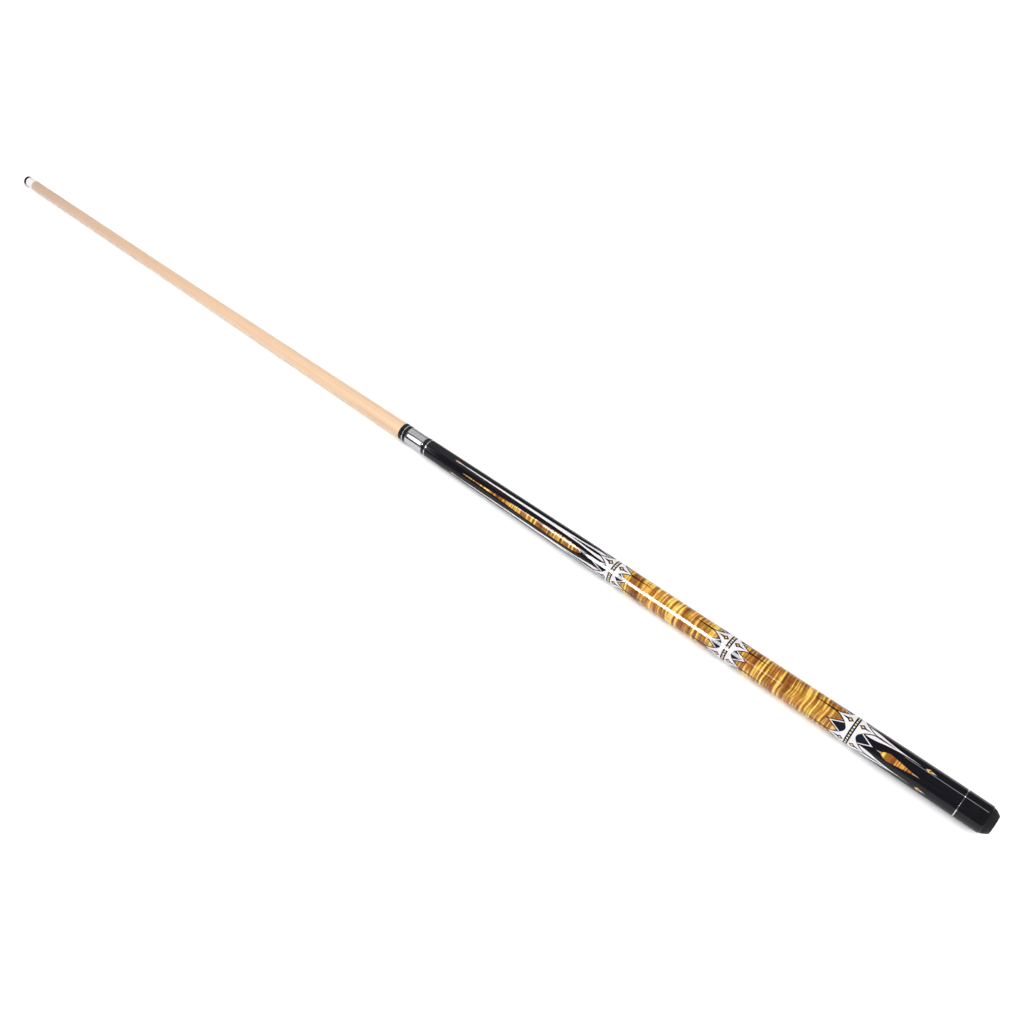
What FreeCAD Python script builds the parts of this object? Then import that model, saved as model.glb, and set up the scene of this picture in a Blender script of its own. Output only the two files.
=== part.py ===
import FreeCAD, Part
import os
import Sketcher
from FreeCAD import Vector, Rotation, Placement

# Two-piece pool cue, 58 inches overall.
# The cue's axis is the X axis. x = 0 is the flat end of the rubber bumper and
# +X runs to the leather tip. +Z is up as the cue lies. All sizes in millimetres.

doc = FreeCAD.newDocument("pool_cue")

# ---------------------------------------------------------------- driving sizes
SIZES = [
    # overall
    ("total_length", 1473.0, "bumper face to the crown of the tip"),
    ("joint_station", 736.5, "butt and shaft are the same length"),
    ("joint_gap", 0.03, "daylight between the two joint faces"),
    ("glue_gap", 0.03, "radial room for glue in every turned tenon"),
    ("run_gap", 0.05, "radial running clearance"),
    # leather tip, pad, ferrule
    ("tip_height", 6.4, "leather, at its crown"),
    ("tip_side", 3.9, "straight side of the leather"),
    ("tip_radius", 6.5, ""),
    ("pad_height", 0.8, ""),
    ("ferrule_length", 12.8, ""),
    ("ferrule_radius", 6.52, ""),
    ("ferrule_tenon_radius", 4.2, ""),
    # maple shaft: radii at distances from the collar shoulder
    ("shaft_radius_shoulder", 9.95, ""),
    ("shaft_run_a", 60.0, ""), ("shaft_radius_a", 9.55, ""),
    ("shaft_run_b", 130.0, ""), ("shaft_radius_b", 9.02, ""),
    ("shaft_run_c", 200.0, ""), ("shaft_radius_c", 8.46, ""),
    ("shaft_run_d", 270.0, ""), ("shaft_radius_d", 7.92, ""),
    ("shaft_run_e", 340.0, ""), ("shaft_radius_e", 7.44, ""),
    ("shaft_run_f", 420.0, ""), ("shaft_radius_f", 7.07, ""),
    ("shaft_run_g", 520.0, ""), ("shaft_radius_g", 6.80, ""),
    ("shaft_run_h", 620.0, ""), ("shaft_radius_h", 6.62, ""),
    ("shaft_tenon_radius", 7.6, "carries the collar rings"),
    # shaft collar: black, silver, black
    ("collar_radius", 10.4, "joint diameter 20.8"),
    ("collar_rear_length", 4.0, ""),
    ("collar_silver_length", 1.2, ""),
    ("collar_front_length", 5.0, ""),
    ("silver_end_gap", 0.02, "room each side of the silver ring"),
    # brass insert in the shaft
    ("insert_radius", 5.2, ""),
    ("insert_length", 28.0, ""),
    ("insert_mouth", 0.8, "countersink depth"),
    # joint pin 5/16-18
    ("pin_radius", 3.97, "5/16 inch thread, major diameter"),
    ("pin_proud", 22.0, ""),
    ("pin_buried", 45.0, ""),
    ("pin_nose", 2.4, "tapered lead"),
    ("pin_nose_radius", 2.9, ""),
    # steel joint collar and the rings behind it
    ("steel_length", 25.4, "one inch collar"),
    ("steel_chamfer", 0.4, ""),
    ("joint_black_length", 4.2, ""),
    ("joint_silver_length", 1.2, ""),
    ("forearm_tenon_radius", 7.9, ""),
    ("forearm_tenon_sink", 0.4, "core sits just below the steel face"),
    # forearm, handle and sleeve: ends of each piece and radii there
    ("forearm_front_radius", 10.33, ""),
    ("forearm_rear_radius", 12.59, ""),
    ("band_front_station", 435.3, "rear edge of the front ring band"),
    ("band_front_length", 5.0, ""),
    ("handle_front_front_radius", 12.63, ""),
    ("handle_front_rear_radius", 13.41, ""),
    ("band_middle_station", 289.6, ""),
    ("band_middle_length", 5.0, ""),
    ("handle_rear_front_radius", 13.45, ""),
    ("handle_rear_rear_radius", 14.46, ""),
    ("band_rear_station", 146.6, ""),
    ("band_rear_length", 4.6, ""),
    ("sleeve_front_radius", 14.5, ""),
    ("sleeve_rear_radius", 14.87, ""),
    ("band_trim", 0.7, "thickness of the black ring each side of a band"),
    ("band_tenon_radius", 9.0, ""),
    ("stud_radius", 4.76, "3/8 inch connecting studs"),
    ("stud_half", 30.0, ""),
    ("stud_chamfer", 1.0, ""),
    ("stud_spare", 2.0, "empty end of each stud hole"),
    # butt cap, its ring, bumper, weight bolt
    ("cap_station", 7.6, ""),
    ("cap_length", 26.0, ""),
    ("cap_radius", 14.9, ""),
    ("cap_lip_radius", 14.0, "radius where the rounded rear edge ends"),
    ("cap_lip_mid_radius", 14.62, ""),
    ("cap_lip_mid", 0.7, ""),
    ("cap_lip", 2.4, ""),
    ("cap_web", 10.0, "solid rear wall of the cap"),
    ("cap_hole_radius", 7.2, ""),
    ("sleeve_tenon_radius", 11.0, ""),
    ("cap_ring_length", 1.1, ""),
    ("bumper_face_radius", 9.2, ""),
    ("bumper_round", 0.9, ""),
    ("bumper_round_radius", 10.4, ""),
    ("bumper_waist", 3.6, ""),
    ("bumper_waist_radius", 12.4, ""),
    ("bumper_base_radius", 13.7, ""),
    ("bumper_seat_gap", 0.05, ""),
    ("bumper_stem_length", 9.2, ""),
    ("bumper_stem_lead", 1.2, ""),
    ("bolt_radius", 6.35, "1/2 inch weight bolt"),
    ("bolt_length", 60.0, ""),
    ("bolt_station", 23.0, ""),
    ("bolt_key_radius", 3.67, "across corners of the hexagon socket, halved"),
    ("bolt_key_depth", 6.0, ""),
    ("bolt_bore_end", 88.0, ""),
    # inlays: an opposite pair in each set, each set turned to its own angle
    ("point_angle", 44.05, "first forearm point, from +Z towards +Y"),
    ("spear_angle", 40.2, "first sleeve spear, from +Z towards +Y"),
    ("point_floor", 8.2, "flat floor of the forearm pockets, from the axis"),
    ("point_tip_station", 648.0, ""),
    ("point_shoulder_station", 512.0, ""),
    ("point_heel_station", 484.0, ""),
    ("point_end_station", 478.5, ""),
    ("point_shoulder_half", 3.6, ""),
    ("point_heel_half", 2.9, ""),
    ("spear_floor", 12.2, "flat floor of the sleeve pockets, from the axis"),
    ("spear_tip_station", 119.5, ""),
    ("spear_wide_station", 108.0, ""),
    ("spear_narrow_station", 90.0, ""),
    ("spear_end_station", 76.0, ""),
    ("spear_wide_half", 4.0, ""),
    ("spear_narrow_half", 2.2, ""),
]

sheet = doc.addObject("Spreadsheet::Sheet", "Params")
VALUE = {}
for row, (alias, value, note) in enumerate(SIZES, start=1):
    sheet.set("A%d" % row, alias)
    sheet.set("B%d" % row, "%.5f" % value)
    sheet.set("C%d" % row, note)
    sheet.setAlias("B%d" % row, alias)
    VALUE[alias] = value
doc.recompute()


class Q:
    """A size: its formula on the sheet and its present value."""

    def __init__(self, text, value):
        self.text, self.value = text, value

    @staticmethod
    def of(other):
        return other if isinstance(other, Q) else Q("%.5f" % other, float(other))

    def __add__(self, other):
        o = Q.of(other)
        return Q("(%s + %s)" % (self.text, o.text), self.value + o.value)

    __radd__ = __add__

    def __sub__(self, other):
        o = Q.of(other)
        return Q("(%s - %s)" % (self.text, o.text), self.value - o.value)

    def __mul__(self, other):
        o = Q.of(other)
        return Q("(%s * %s)" % (self.text, o.text), self.value * o.value)

    __rmul__ = __mul__


def p(alias):
    return Q("Params." + alias, VALUE[alias])


ZERO = 0


def new_body(name, station=None, turned=None):
    body = doc.addObject("PartDesign::Body", name)
    body.Label = name
    if hasattr(body, "AllowCompound"):
        body.AllowCompound = True
    turn = Rotation(Vector(1, 0, 0), -VALUE[turned]) if turned else Rotation()
    body.Placement = Placement(Vector(station.value if station else 0, 0, 0), turn)
    if station:
        body.setExpression("Placement.Base.x", station.text)
    if turned:
        body.setExpression("Placement.Rotation.Angle", "-Params." + turned)
    return body


def plane(body, role):
    for feature in body.Origin.OriginFeatures:
        if feature.Role == role:
            return feature
    raise RuntimeError("no " + role)


def sketch_on(body, name, role):
    sk = body.newObject("Sketcher::SketchObject", name)
    sk.AttachmentSupport = [(plane(body, role), "")]
    sk.MapMode = "FlatFace"
    return sk


def fix_point(sk, geo, pos, coords, tag):
    """Holds one end of a line at a place given by two sizes."""
    for axis, kind, line, size in ((0, "DistanceX", -2, coords[0]), (1, "DistanceY", -1, coords[1])):
        if isinstance(size, Q):
            n = sk.addConstraint(Sketcher.Constraint(kind, geo, pos, size.value))
            label = "%s_%s" % (tag, "along" if axis == 0 else "out")
            sk.renameConstraint(n, label)
            sk.setExpression("Constraints." + label, size.text)
        else:
            sk.addConstraint(Sketcher.Constraint("PointOnObject", geo, pos, line))


def number(size):
    return size.value if isinstance(size, Q) else float(size)


def outline(sk, points, dome=None):
    """A closed outline. dome names the side that is an arc centred on the axis."""
    count = len(points)
    xy = [Vector(number(a), number(b), 0) for a, b in points]
    for i in range(count):
        a, b = xy[i], xy[(i + 1) % count]
        if i == dome:
            # arc from a (the side) to b (the crown, on the axis), centre on the axis
            cx = (b.x * b.x - a.x * a.x - a.y * a.y) / (2 * (b.x - a.x))
            radius = abs(b.x - cx)
            import math
            start = math.atan2(b.y, b.x - cx)
            end = math.atan2(a.y, a.x - cx)
            circle = Part.Circle(Vector(cx, 0, 0), Vector(0, 0, 1), radius)
            sk.addGeometry(Part.ArcOfCircle(circle, start, end), False)
        else:
            sk.addGeometry(Part.LineSegment(a, b), False)
    for i in range(count):
        j = (i + 1) % count
        end_of_i = 1 if i == dome else 2
        start_of_j = 2 if j == dome else 1
        sk.addConstraint(Sketcher.Constraint("Coincident", i, end_of_i, j, start_of_j))
    for i in range(count):
        fix_point(sk, i, 2 if i == dome else 1, points[i], "corner_%s" % "abcdefghijklmnopqrstuvwxyz"[i])
    if dome is not None:
        sk.addConstraint(Sketcher.Constraint("PointOnObject", dome, 3, -1))


def turned_piece(name, points, station=None, dome=None, body=None, pattern=None):
    """A piece turned on the lathe: an outline revolved about the cue's axis."""
    body = body or new_body(name, station, pattern)
    sk = sketch_on(body, name + "_outline", "XZ_Plane")
    outline(sk, points, dome)
    rev = body.newObject("PartDesign::Revolution", name + "_turned")
    rev.Profile = sk
    rev.ReferenceAxis = (sk, ["H_Axis"])
    rev.Angle = 360.0
    body.Tip = rev
    doc.recompute()
    return body


def ring(name, station, length, outer_rear, outer_front, bore, pieces=None):
    return turned_piece(name, [(ZERO, bore), (ZERO, outer_rear), (length, outer_front), (length, bore)], station)


# ---------------------------------------------------------------- stations
total = p("total_length")
joint = p("joint_station")
shaft_start = joint + p("joint_gap")
silver_start = joint + p("collar_rear_length")
front_black_start = silver_start + p("collar_silver_length")
shoulder = front_black_start + p("collar_front_length")
tip_start = total - p("tip_height")
pad_start = tip_start - p("pad_height")
ferrule_start = pad_start - p("ferrule_length")
steel_start = joint - p("steel_length")
black_start = steel_start - p("joint_black_length")
joint_silver_start = black_start - p("joint_silver_length")
band_a = p("band_front_station")
band_b = p("band_middle_station")
band_c = p("band_rear_station")
forearm_start = band_a + p("band_front_length")
handle_front_start = band_b + p("band_middle_length")
handle_rear_start = band_c + p("band_rear_length")
cap_end = p("cap_station") + p("cap_length")
sleeve_start = cap_end + p("cap_ring_length")
glue = p("glue_gap")

# ---------------------------------------------------------------- tip end
turned_piece("cue_tip",
             [(ZERO, ZERO), (ZERO, p("tip_radius")), (p("tip_side"), p("tip_radius")), (p("tip_height"), ZERO)],
             tip_start, dome=2)
turned_piece("tip_pad",
             [(ZERO, ZERO), (ZERO, p("tip_radius")), (p("pad_height"), p("tip_radius")), (p("pad_height"), ZERO)],
             pad_start)
# ferrule: a through-bored sleeve on the shaft's tenon
turned_piece("ferrule",
             [(ZERO, p("ferrule_tenon_radius") + glue), (ZERO, p("ferrule_radius")),
              (p("ferrule_length"), p("tip_radius")), (p("ferrule_length"), p("ferrule_tenon_radius") + glue)],
             ferrule_start)

# ---------------------------------------------------------------- shaft
sh = shoulder - shaft_start                    # length of the rear tenon
main = ferrule_start - shaft_start             # end of the bare maple
bore = p("insert_radius") + glue
deep = p("insert_length") + 1.5
profile = [(ZERO, bore), (ZERO, p("shaft_tenon_radius")), (sh, p("shaft_tenon_radius")),
           (sh, p("shaft_radius_shoulder"))]
for letter in "abcdefgh":
    profile.append((sh + p("shaft_run_" + letter), p("shaft_radius_" + letter)))
profile += [(main, p("ferrule_radius")), (main, p("ferrule_tenon_radius")),
            (pad_start - shaft_start - 0.05, p("ferrule_tenon_radius")), (pad_start - shaft_start - 0.05, ZERO),
            (deep + 3.0, ZERO), (deep, bore)]
turned_piece("shaft", profile, shaft_start)

ring("shaft_collar_rear", shaft_start, p("collar_rear_length") - p("joint_gap"),
     p("collar_radius"), p("collar_radius"), p("shaft_tenon_radius") + glue)
ring("shaft_collar_silver", silver_start + p("silver_end_gap"), p("collar_silver_length") - 2 * p("silver_end_gap"),
     p("collar_radius"), p("collar_radius"), p("shaft_tenon_radius") + p("run_gap"))
ring("shaft_collar_front", front_black_start, p("collar_front_length"),
     p("collar_radius"), p("collar_radius"), p("shaft_tenon_radius") + glue)
# brass insert: threaded bore drawn at the thread's major diameter plus running clearance
hole = p("pin_radius") + p("run_gap")
turned_piece("shaft_insert",
             [(ZERO, hole + p("insert_mouth")), (ZERO, p("insert_radius")),
              (p("insert_length"), p("insert_radius")), (p("insert_length"), hole),
              (p("insert_mouth"), hole)],
             shaft_start)

# ---------------------------------------------------------------- joint, butt side
pin_start = joint - p("pin_buried")
pin_length = p("pin_buried") + p("pin_proud")
turned_piece("joint_pin",
             [(ZERO, ZERO), (ZERO, p("pin_radius") - 0.8), (Q("0.8", 0.8), p("pin_radius")),
              (pin_length - p("pin_nose"), p("pin_radius")), (pin_length, p("pin_nose_radius")), (pin_length, ZERO)],
             pin_start)
turned_piece("joint_collar",
             [(ZERO, p("forearm_tenon_radius") + glue), (ZERO, p("collar_radius")),
              (p("steel_length") - p("steel_chamfer"), p("collar_radius")),
              (p("steel_length"), p("collar_radius") - p("steel_chamfer")),
              (p("steel_length"), p("forearm_tenon_radius") + glue)],
             steel_start)
ring("joint_ring_black", black_start, p("joint_black_length"),
     p("collar_radius"), p("collar_radius"), p("forearm_tenon_radius") + glue)
ring("joint_ring_silver", joint_silver_start, p("joint_silver_length"),
     p("collar_radius"), p("collar_radius"), p("forearm_tenon_radius") + glue)


# ---------------------------------------------------------------- pockets and inlays
def pocket_outline(kind, origin):
    """Half-widths of one inlay along the cue, as a closed outline in the XY plane."""
    if kind == "point":
        return [(p("point_end_station") - origin, ZERO),
                (p("point_heel_station") - origin, p("point_heel_half")),
                (p("point_shoulder_station") - origin, p("point_shoulder_half")),
                (p("point_tip_station") - origin, ZERO),
                (p("point_shoulder_station") - origin, p("point_shoulder_half") * -1.0),
                (p("point_heel_station") - origin, p("point_heel_half") * -1.0)]
    return [(p("spear_end_station") - origin, ZERO),
            (p("spear_narrow_station") - origin, p("spear_narrow_half")),
            (p("spear_wide_station") - origin, p("spear_wide_half")),
            (p("spear_tip_station") - origin, ZERO),
            (p("spear_wide_station") - origin, p("spear_wide_half") * -1.0),
            (p("spear_narrow_station") - origin, p("spear_narrow_half") * -1.0)]


def axis_of(body):
    for feature in body.Origin.OriginFeatures:
        if feature.Role == "X_Axis":
            return feature
    raise RuntimeError("no X axis")


def opposite_pair(body, feature, name):
    ring_of = body.newObject("PartDesign::PolarPattern", name)
    ring_of.Originals = [feature]
    ring_of.Axis = (axis_of(body), [""])
    ring_of.Angle = 360.0
    ring_of.Occurrences = 2
    body.Tip = ring_of
    doc.recompute()
    return ring_of


def cut_pockets(body, kind, floor, origin):
    before = body.Shape.Volume
    sk = sketch_on(body, body.Label + "_pocket_outline", "XY_Plane")
    sk.AttachmentOffset = Placement(Vector(0, 0, floor.value), Rotation())
    sk.setExpression("AttachmentOffset.Base.z", floor.text)
    outline(sk, pocket_outline(kind, origin))
    pocket = body.newObject("PartDesign::Pocket", body.Label + "_pocket")
    pocket.Profile = sk
    pocket.Type = "Length"
    pocket.Length = 12.0
    pocket.Reversed = True
    body.Tip = pocket
    doc.recompute()
    one = before - body.Shape.Volume
    if one < 20.0:
        raise RuntimeError("pocket of %s cut nothing" % body.Label)
    opposite_pair(body, pocket, body.Label + "_pockets")
    both = before - body.Shape.Volume
    if abs(both - 2 * one) > 0.02 * both:
        raise RuntimeError("pockets of %s are wrong: %.1f of %.1f" % (body.Label, both, 2 * one))
    return both


def inlay(name, kind, floor, station, host_length, host_rear, host_front):
    """Two opposite flat-bottomed inlays whose outer faces follow the host's taper."""
    body = new_body(name, station, kind + "_angle")
    sk = sketch_on(body, name + "_outline", "XY_Plane")
    sk.AttachmentOffset = Placement(Vector(0, 0, floor.value), Rotation())
    sk.setExpression("AttachmentOffset.Base.z", floor.text)
    outline(sk, pocket_outline(kind, station))
    pad = body.newObject("PartDesign::Pad", name + "_block")
    pad.Profile = sk
    pad.Length = 9.0
    body.Tip = pad
    doc.recompute()
    opposite_pair(body, pad, name + "_blocks")
    before = body.Shape.Volume
    cut = sketch_on(body, name + "_turning", "XZ_Plane")
    outline(cut, [(ZERO, host_rear), (host_length, host_front), (host_length, Q("40.0", 40.0)), (ZERO, Q("40.0", 40.0))])
    groove = body.newObject("PartDesign::Groove", name + "_turned")
    groove.Profile = cut
    groove.ReferenceAxis = (cut, ["H_Axis"])
    groove.Angle = 360.0
    body.Tip = groove
    doc.recompute()
    if not (0.02 * before < body.Shape.Volume < 0.95 * before):
        raise RuntimeError("turning of %s is wrong" % name)
    return body


# ---------------------------------------------------------------- forearm
stud = p("stud_radius") + glue
stud_deep = p("stud_half") + p("stud_spare")
fa_len = joint_silver_start - forearm_start
fa_front = joint - p("forearm_tenon_sink") - forearm_start
pin_hole_end = pin_start - 1.0 - forearm_start
# the rear stud hole is measured from the middle of the ring band
fa_stud = stud_deep - p("band_front_length") * 0.5
forearm = turned_piece(
    "forearm",
    [(ZERO, stud), (ZERO, p("forearm_rear_radius")), (fa_len, p("forearm_front_radius")),
     (fa_len, p("forearm_tenon_radius")), (fa_front, p("forearm_tenon_radius")), (fa_front, p("pin_radius") + glue),
     (pin_hole_end, p("pin_radius") + glue), (pin_hole_end, ZERO), (fa_stud, ZERO), (fa_stud, stud)],
    forearm_start, pattern="point_angle")
cut_pockets(forearm, "point", p("point_floor"), forearm_start)
inlay("forearm_points", "point", p("point_floor"), forearm_start, fa_len,
      p("forearm_rear_radius"), p("forearm_front_radius"))


# ---------------------------------------------------------------- ring bands and studs
def band(letter, start, length, rear_radius, front_radius):
    """A sandwich of two thin black rings and one ring of square checks, on a tenon."""
    bore_radius = p("band_tenon_radius") + glue
    trim = p("band_trim")
    ring("band_%s_checks" % letter, start + trim, length - 2 * trim, rear_radius, front_radius, bore_radius)
    body = new_body("band_%s_trim" % letter, start)
    for name, at, radius in (("rear", None, rear_radius), ("front", length - trim, front_radius)):
        sk = sketch_on(body, "band_%s_trim_%s" % (letter, name), "XZ_Plane")
        near = ZERO if at is None else at
        far = trim if at is None else length
        outline(sk, [(near, bore_radius), (near, radius), (far, radius), (far, bore_radius)])
        rev = body.newObject("PartDesign::Revolution", "band_%s_trim_%s_turned" % (letter, name))
        rev.Profile = sk
        rev.ReferenceAxis = (sk, ["H_Axis"])
        rev.Angle = 360.0
        body.Tip = rev
        doc.recompute()


def stud_piece(name, middle):
    length = p("stud_half") * 2.0
    turned_piece(name,
                 [(ZERO, ZERO), (ZERO, p("stud_radius") - p("stud_chamfer")), (p("stud_chamfer"), p("stud_radius")),
                  (length - p("stud_chamfer"), p("stud_radius")), (length, p("stud_radius") - p("stud_chamfer")),
                  (length, ZERO)],
                 middle - p("stud_half"))


band("front", band_a, p("band_front_length"), p("handle_front_front_radius"), p("forearm_rear_radius"))
stud_piece("stud_front", band_a + p("band_front_length") * 0.5)
band("middle", band_b, p("band_middle_length"), p("handle_rear_front_radius"), p("handle_front_rear_radius"))
stud_piece("stud_middle", band_b + p("band_middle_length") * 0.5)
band("rear", band_c, p("band_rear_length"), p("sleeve_front_radius"), p("handle_rear_rear_radius"))
stud_piece("stud_rear", band_c + p("band_rear_length") * 0.5)


def handle(name, start, rear_half_band, end, front_band, rear_radius, front_radius):
    """A tapered handle piece with a stud hole in each end and a tenon for the front ring band."""
    length = end - start
    rear_deep = stud_deep - rear_half_band * 0.5
    front_deep = length + front_band * 0.5 - stud_deep
    turned_piece(name,
                 [(ZERO, stud), (ZERO, rear_radius), (length, front_radius), (length, p("band_tenon_radius")),
                  (length + front_band, p("band_tenon_radius")), (length + front_band, stud),
                  (front_deep, stud), (front_deep, ZERO), (rear_deep, ZERO), (rear_deep, stud)],
                 start)


handle("handle_front", handle_front_start, p("band_middle_length"), band_a, p("band_front_length"),
       p("handle_front_rear_radius"), p("handle_front_front_radius"))
handle("handle_rear", handle_rear_start, p("band_rear_length"), band_b, p("band_middle_length"),
       p("handle_rear_rear_radius"), p("handle_rear_front_radius"))

# ---------------------------------------------------------------- butt sleeve
tenon_face = p("cap_station") + p("cap_web") + 0.1
sl_shoulder = sleeve_start - tenon_face
sl_len = band_c - tenon_face
sl_front_deep = sl_len + p("band_rear_length") * 0.5 - stud_deep
bolt_bore = p("bolt_radius") + glue
sleeve_origin = tenon_face
sleeve = turned_piece(
    "butt_sleeve",
    [(ZERO, bolt_bore), (ZERO, p("sleeve_tenon_radius")), (sl_shoulder, p("sleeve_tenon_radius")),
     (sl_shoulder, p("sleeve_rear_radius")), (sl_len, p("sleeve_front_radius")),
     (sl_len, p("band_tenon_radius")), (sl_len + p("band_rear_length"), p("band_tenon_radius")),
     (sl_len + p("band_rear_length"), stud), (sl_front_deep, stud), (sl_front_deep, ZERO),
     (p("bolt_bore_end") - sleeve_origin, ZERO), (p("bolt_bore_end") - sleeve_origin, bolt_bore)],
    sleeve_origin, pattern="spear_angle")
cut_pockets(sleeve, "spear", p("spear_floor"), sleeve_origin)
inlay("sleeve_spears", "spear", p("spear_floor"), sleeve_start, band_c - sleeve_start,
      p("sleeve_rear_radius"), p("sleeve_front_radius"))

# ---------------------------------------------------------------- butt cap end
ring("cap_ring_silver", cap_end, p("cap_ring_length"), p("cap_radius"), p("cap_radius"),
     p("sleeve_tenon_radius") + glue)
turned_piece("butt_cap",
             [(ZERO, p("cap_hole_radius")), (ZERO, p("cap_lip_radius")), (p("cap_lip_mid"), p("cap_lip_mid_radius")),
              (p("cap_lip"), p("cap_radius")), (p("cap_length"), p("cap_radius")),
              (p("cap_length"), p("sleeve_tenon_radius") + glue), (p("cap_web"), p("sleeve_tenon_radius") + glue),
              (p("cap_web"), p("cap_hole_radius"))],
             p("cap_station"))
seat = p("cap_station") - p("bumper_seat_gap")
stem_end = p("cap_station") + p("bumper_stem_length")
stem = p("cap_hole_radius") - p("run_gap")
turned_piece("rubber_bumper",
             [(ZERO, ZERO), (ZERO, p("bumper_face_radius")), (p("bumper_round"), p("bumper_round_radius")),
              (p("bumper_waist"), p("bumper_waist_radius")), (seat, p("bumper_base_radius")), (seat, stem),
              (stem_end - p("bumper_stem_lead"), stem), (stem_end, stem - p("bumper_stem_lead")), (stem_end, ZERO)])
bolt = turned_piece("weight_bolt",
                    [(ZERO, ZERO), (ZERO, p("bolt_radius") - p("stud_chamfer")), (p("stud_chamfer"), p("bolt_radius")),
                     (p("bolt_length") - p("stud_chamfer"), p("bolt_radius")),
                     (p("bolt_length"), p("bolt_radius") - p("stud_chamfer")), (p("bolt_length"), ZERO)],
                    p("bolt_station"))
# hexagon key socket in the bolt's rear end
before = bolt.Shape.Volume
key = sketch_on(bolt, "weight_bolt_key_outline", "YZ_Plane")
across, flat = p("bolt_key_radius"), p("bolt_key_radius") * 0.8660254
outline(key, [(across, ZERO), (across * 0.5, flat), (across * -0.5, flat),
              (across * -1.0, ZERO), (across * -0.5, flat * -1.0), (across * 0.5, flat * -1.0)])
socket = bolt.newObject("PartDesign::Pocket", "weight_bolt_key")
socket.Profile = key
socket.Type = "Length"
socket.Length = p("bolt_key_depth").value
socket.setExpression("Length", "Params.bolt_key_depth")
socket.Reversed = True
bolt.Tip = socket
doc.recompute()
if before - bolt.Shape.Volume < 100.0:
    raise RuntimeError("the key socket cut nothing")

# ---------------------------------------------------------------- checks and export
doc.recompute()
for obj in doc.Objects:
    if "Invalid" in obj.State or "Error" in obj.State:
        raise RuntimeError("%s is %s" % (obj.Label, obj.State))
bodies = [o for o in doc.Objects if o.TypeId == "PartDesign::Body"]
for body in bodies:
    if body.Shape.isNull() or not body.Shape.isValid():
        raise RuntimeError(body.Label + " has no valid shape")
os.makedirs("parts", exist_ok=True)
for body in bodies:
    body.Shape.exportStep("parts/%s.step" % body.Label)
    box = body.Shape.BoundBox
    print("%-22s solids %d  x %8.2f..%8.2f  r %.2f  volume %.1f" % (
        body.Label, len(body.Shape.Solids), box.XMin, box.XMax, max(box.YMax, box.ZMax), body.Shape.Volume))
print(len(bodies), "pieces")
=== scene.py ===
import math
import random

import bpy
import numpy as np
from mathutils import Matrix, Vector
from mathutils.geometry import delaunay_2d_cdt


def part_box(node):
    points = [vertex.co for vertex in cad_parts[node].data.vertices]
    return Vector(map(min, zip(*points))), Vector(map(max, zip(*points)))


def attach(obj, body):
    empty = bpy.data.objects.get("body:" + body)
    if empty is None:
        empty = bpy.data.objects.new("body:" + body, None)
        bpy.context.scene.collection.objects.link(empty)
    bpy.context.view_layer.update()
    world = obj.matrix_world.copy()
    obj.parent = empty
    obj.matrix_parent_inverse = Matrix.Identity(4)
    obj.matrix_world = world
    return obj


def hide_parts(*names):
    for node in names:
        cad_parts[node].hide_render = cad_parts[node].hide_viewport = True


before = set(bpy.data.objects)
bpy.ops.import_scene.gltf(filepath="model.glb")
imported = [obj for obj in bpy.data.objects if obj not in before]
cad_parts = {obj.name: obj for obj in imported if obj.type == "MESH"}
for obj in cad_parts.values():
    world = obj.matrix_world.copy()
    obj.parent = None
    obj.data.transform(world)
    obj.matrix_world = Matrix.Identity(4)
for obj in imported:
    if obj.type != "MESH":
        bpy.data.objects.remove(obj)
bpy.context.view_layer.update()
random.seed(7)

MM = 0.001


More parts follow.
